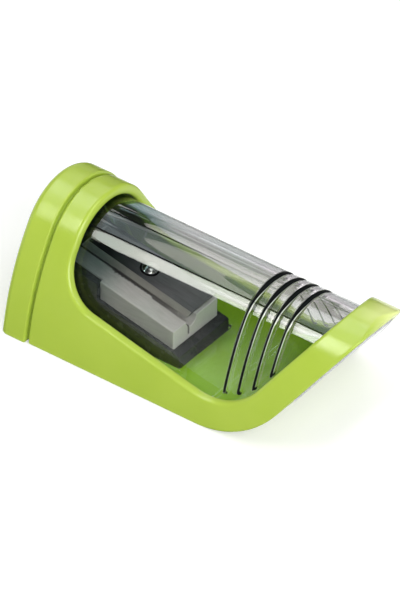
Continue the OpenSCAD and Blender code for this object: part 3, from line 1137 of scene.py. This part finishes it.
finishes = {  # the node each piece replaces, its body, its slot, its material and its marks
    "case_shell": ("case", "case", "green_shell", greenPlastic(), markInsideShade),
    "cap_shell": ("end_cap", "insert", "green_shell", greenPlastic(), markInsideShade),
    "clear_drawer": ("drawer", "drawer", "clear_cover", clearPlastic(), markCover),
    "tray": ("holder", "insert", "black_moulding", blackPlastic(), None),
    "wedge_block": ("sharpener_block", "insert", "cast_metal", castMetal(), markBlockShade),
    "blade_plate": ("blade", "insert", "blade_steel", bladeSteel(), None),
    "screw": ("blade_screw", "insert", "plated_screw", screwPlate(), markCollarShade),
}
for name, (node, body, slot, material, marks) in finishes.items():
    piece = pieces[name]
    piece.name = name
    if marks:
        marks(piece)
    if name == "clear_drawer":
        pressGrooves(piece, material)
    else:
        piece.data.materials.append(material)
    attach(piece, body)
    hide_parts(node)
print("sharpener: pieces finished")

# the studio, in metres
studio = {
    "turn": math.radians(37.8),
    "rise": math.radians(37.5),
    "far": 2.0,
    "tall": 0.108,
    "aim": (-0.00547, 0.00152, 0.010),
    "clip": 50,
}


def toCamera():
    turn, rise = studio["turn"], studio["rise"]
    level = math.cos(rise)
    return Vector((math.sin(turn) * level, -math.cos(turn) * level, math.sin(rise)))


def stand(item, place, turn):
    item.location = place
    item.rotation_mode = "QUATERNION"
    item.rotation_quaternion = turn


cameraData = bpy.data.cameras.new("camera")
cameraData.lens = cameraData.sensor_width * studio["far"] / studio["tall"]
cameraData.clip_end = studio["clip"]
camera = put("camera", cameraData)
cameraPlace = Vector(studio["aim"]) + toCamera() * studio["far"]
stand(camera, cameraPlace, (-toCamera()).to_track_quat("-Z", "Y"))
bpy.context.scene.camera = camera


# soft boxes stand where the arch mirrors them: turn is the angle over the case, from straight up
# to the near side, and reach the stretch of the case below the box, in millimetres from the joint
softBoxes = {
    "ring_strip": {"turn": (27.5, 52), "reach": (-60, 6.5), "glow": 0.4},
    "strip_box": {"turn": (27.5, 51.5), "reach": (6.5, 120), "glow": 3.0, "tone": (0.96, 1, 0.82)},
    "strip_boost": {
        "turn": (28, 53.5), "reach": (14, 90), "glow": 6.4, "far": 0.58, "tone": (0.98, 1, 0.92)
    },
    "middle_strip": {"turn": (28, 52.5), "reach": (26, 60), "glow": 1.5, "far": 0.57},
    "tip_strip": {"turn": (27.5, 52.5), "reach": (60, 110), "glow": 3.0, "far": 0.56},
    "band_box": {"turn": (-23, 24.5), "reach": (-60, 120), "glow": 1.5, "tone": (0.85, 0.97, 1)},
    "ring_band": {"turn": (-23, 24.5), "reach": (-60, 5), "glow": 0.8, "far": 0.59},
    "band_boost": {
        "turn": (-20, 24), "reach": (26, 46), "glow": 2.8, "far": 0.58, "tone": (1, 0.95, 0.86)
    },
    "crown_box": {"turn": (-20, 8), "reach": (-60, 5), "glow": 2.5, "far": 0.57},
    "high_box": {"turn": (-58, -26), "reach": (-10, 5), "glow": 3.2},
    "far_crown_box": {"turn": (-84, -51), "reach": (17, 60), "glow": 1.4, "tone": (1, 0.94, 0.98)},
    "upper_box": {"turn": (-42.5, -26), "reach": (22, 56), "glow": 3.4, "tone": (1, 0.93, 0.93)},
    "tip_crown_box": {"turn": (-20, 8), "reach": (64, 120), "glow": 2.4, "far": 0.57},
    "tip_high_box": {"turn": (-58, -26), "reach": (76, 120), "glow": 2.5},
    "tip_far_box": {"turn": (-90, -58), "reach": (70, 100), "glow": 3.0},
}
# plain boxes that the arch does not mirror
fillBoxes = {
    "key_box": {"place": (0.50, -0.32, 0.39), "size": (0.45, 0.45), "glow": 6.3},
    "over_box": {"place": (0.26, 0.06, 0.62), "size": (0.32, 0.32), "glow": 3.2},
    "blade_box": {"place": (-0.085, 0.376, 0.454), "size": (0.1, 0.16), "glow": 1.5},
}
# dark cards over the case
flags = {
    "front_flag": {"turn": (56, 100), "reach": (-150, 350), "far": 0.45},
    "back_flag": {"turn": (-100, -58), "reach": (10, 300), "far": 0.5},
}
# dark sheets on the table, by two corners
sheets = {
    "front_sheet": ((-0.35, -0.5), (0.45, -0.017)),
    "back_sheet": ((-0.5, 0.055), (-0.02, 0.6)),
}
boxFar = 0.6  # from the case to a box that gives no other distance
sky = {"horizon": 1.0, "ceiling": 0.12, "rise": (0.12, 0.34)}


def overCase(turn):
    a = math.radians(turn)
    reach = math.hypot(toCamera().y, toCamera().z)
    return Vector((-toCamera().x, -reach * math.sin(a), reach * math.cos(a)))


def towards(direction, along):
    # axes of a card seen from the object in a direction, with its height along another
    back = direction.normalized()
    across = along.cross(back).normalized()
    return Matrix((across, back.cross(across), back)).transposed().to_quaternion()


def placed(card):
    far, (low, high) = card.get("far", boxFar), card["turn"]
    middle = overCase((low + high) / 2)
    along = (overCase(high) - overCase(low)).normalized()
    tall = 2 * far * math.tan(middle.angle(overCase(high)))
    start, end = ((jointX + edge) * mm for edge in card["reach"])
    place = middle * far + Vector(((start + end) / 2, 0, 0))
    return place, towards(middle, along), (end - start, tall)


def softBox(name, box, place, turn, size):
    lamp = bpy.data.lights.new(name, "AREA")
    lamp.shape = "RECTANGLE"
    lamp.size, lamp.size_y = size
    lamp.color = box.get("tone", (1, 1, 1))
    lamp.energy = box["glow"] * math.pi * size[0] * size[1]
    stand(put(name, lamp), place, turn)


for name, box in softBoxes.items():
    softBox(name, box, *placed(box))
for name, box in fillBoxes.items():
    way = Vector(box["place"])
    softBox(name, box, way, towards(way, Vector((0, 0, 1))), box["size"])
print("sharpener: soft boxes hung")

world = bpy.data.worlds.new("studio_world")
bpy.context.scene.world = world
world.use_nodes = True
tree = world.node_tree
tree.nodes.clear()
way = wire(tree, "ShaderNodeTexCoord").outputs["Generated"]
up = wire(tree, "ShaderNodeSeparateXYZ", {0: way}).outputs[2]
skyEnds = (sky["horizon"], sky["ceiling"])
level = span(tree, up, *skyEnds, *sky["rise"], interpolation_type="SMOOTHSTEP")
backdrop = wire(tree, "ShaderNodeBackground", {"Color": (1, 1, 1, 1), "Strength": level})
wire(tree, "ShaderNodeOutputWorld", {"Surface": backdrop.outputs[0]})


def card(name, corners, material):
    mesh = bpy.data.meshes.new(name)
    mesh.from_pydata(corners, [], [(0, 1, 2, 3)])
    mesh.materials.append(material)
    sheet = put(name, mesh)
    return sheet


def hidden(sheet):
    # only reflections see it
    for ray in ("camera", "shadow", "diffuse", "transmission"):
        setattr(sheet, "visible_" + ray, False)


# dark cloth, only met by light that has not been through the cover
cloth = {"skin": ((0.012,) * 3, (0.02,) * 3), "lift": 0.0004}
clothMaterial, tree, shader, output = newMaterial("flag_cloth", {"Roughness": 1})
tree.links.new(tint(tree, noise(tree, 40), *cloth["skin"]), shader.inputs["Base Color"])
depth = wire(tree, "ShaderNodeLightPath").outputs["Transmission Depth"]
past = maths(tree, "GREATER_THAN", depth, 0.5)
through = wire(tree, "ShaderNodeBsdfTransparent").outputs[0]
tree.links.new(layered(tree, past, shader.outputs[0], through), output.inputs["Surface"])
square = ((-1, -1), (1, -1), (1, 1), (-1, 1))
for name, flag in flags.items():
    middle, turn, (long, tall) = placed(flag)
    corners = [middle + turn @ Vector((u * long / 2, v * tall / 2, 0)) for u, v in square]
    hidden(card(name, corners, clothMaterial))
for name, ((x0, y0), (x1, y1)) in sheets.items():
    corners = [(x, y, cloth["lift"]) for x, y in ((x0, y0), (x1, y0), (x1, y1), (x0, y1))]
    hidden(card(name, corners, clothMaterial))

paper = {"half": 1.5, "skin": ((0.68,) * 3, (0.70,) * 3), "lift": 0.42}
look = {"Roughness": 0.9, "Specular IOR Level": 0.1, "Emission Color": (1, 1, 1, 1)}
paperMaterial, tree, shader, _ = newMaterial("floor_paper", look)
tree.links.new(tint(tree, noise(tree, 30), *paper["skin"]), shader.inputs["Base Color"])
path = wire(tree, "ShaderNodeLightPath").outputs
shown = maths(tree, "MAXIMUM", path["Is Camera Ray"], path["Is Transmission Ray"])
shown = maths(tree, "MAXIMUM", shown, path["Is Glossy Ray"])
tree.links.new(maths(tree, "MULTIPLY", shown, paper["lift"]), shader.inputs["Emission Strength"])
corners = [(u * paper["half"], v * paper["half"], 0) for u, v in square]
card("floor", corners, paperMaterial)
print("sharpener: stage set")

bpy.context.scene.view_settings.view_transform = "Standard"
